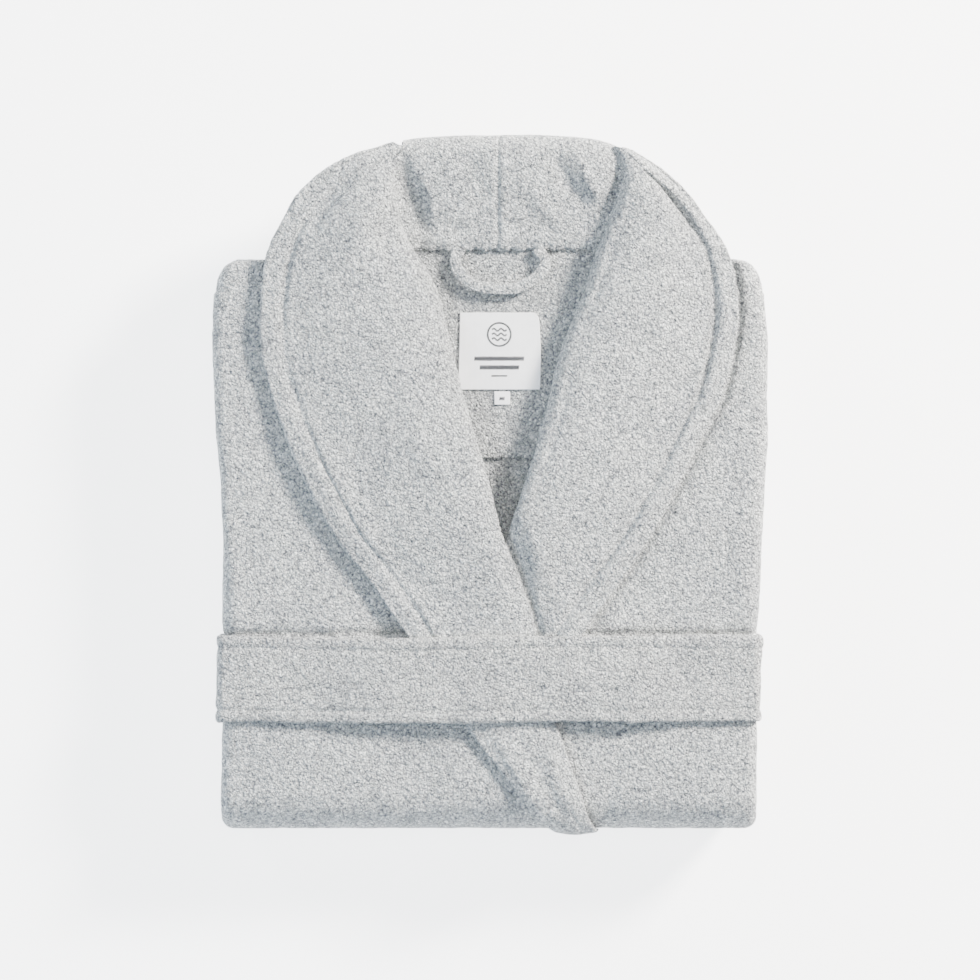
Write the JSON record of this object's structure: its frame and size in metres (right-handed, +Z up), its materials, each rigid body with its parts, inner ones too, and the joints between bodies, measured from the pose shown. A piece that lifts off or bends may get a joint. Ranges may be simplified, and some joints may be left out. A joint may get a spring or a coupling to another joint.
{
  "type": "bathrobe",
  "caption": "Folded terry bathrobe: shawl collar over lapped fronts, hanger loop and label at the neck, sleeves and skirt folded behind, belt round the torso.",
  "frame": {"origin": "middle of the folded pack's box, on the surface it lies on", "axes": "+Y from the bottom fold to the collar, +Z up from the surface to the face with the lapels, +X to the wearer's left, the viewer's right"},
  "size_m": [0.3548, 0.4448, 0.0862],
  "materials": {
    "terry": "cotton terry loops, light grey melange",
    "terry_inside": "cotton terry loops, inside face, light grey melange",
    "terry_belt": "cotton terry loops, light grey melange, topstitched edges",
    "satin": "woven white satin"
  },
  "bodies": {
    "skirt": {"skirt_front_right": "terry", "skirt_front_left": "terry", "skirt_band_right": "terry", "skirt_band_left": "terry", "hem_front_right": "terry", "hem_front_left": "terry", "hem_band_right": "terry", "hem_band_left": "terry", "pocket_right": "terry", "pocket_hem_right": "terry", "pocket_left": "terry", "pocket_hem_left": "terry", "skirt_back": "terry_inside", "hem_back": "terry_inside", "skirt_side_right": "terry_inside", "skirt_side_left": "terry_inside"},
    "torso": {"front_panel_right": "terry", "front_panel_left": "terry", "front_band_right": "terry", "lapel_right": "terry", "lapel_left": "terry", "under_collar_right": "terry", "under_collar_left": "terry", "collar_back_right": "terry", "collar_back_left": "terry", "back_panel": "terry_inside", "back_neck_yoke": "terry_inside", "side_turn_right": "terry_inside", "side_turn_left": "terry_inside", "sleeve_right": "terry_inside", "cuff_right": "terry_inside", "sleeve_left": "terry_inside", "cuff_left": "terry_inside", "brand_label": "satin"},
    "belt": {"belt_front_run": "terry_belt", "belt_wrap_right": "terry_belt", "belt_wrap_left": "terry_belt", "belt_tail_right": "terry_belt", "belt_tail_left": "terry_belt"},
    "hanger": {"hanger_loop": "terry"},
    "tab": {"size_tab": "satin"}
  },
  "joints": [
    {"name": "torso_fold", "type": "hinge", "parent": "skirt", "child": "torso", "pos_m": [0, -0.2225, 0.0428], "axis": [1, 0, 0], "range_deg": [0, 165]},
    {"name": "belt_shift", "type": "slide", "parent": "torso", "child": "belt", "axis": [0, 1, 0], "range_m": [-0.036, 0]},
    {"name": "hanger_swing", "type": "hinge", "parent": "torso", "child": "hanger", "pos_m": [0.007, 0.1505, 0.0708], "axis": [-1, 0, 0], "range_deg": [0, 130]},
    {"name": "tab_flip", "type": "hinge", "parent": "torso", "child": "tab", "pos_m": [0.0083, 0.0597, 0.06855], "axis": [-1, 0, 0], "range_deg": [0, 85]}
  ]
}
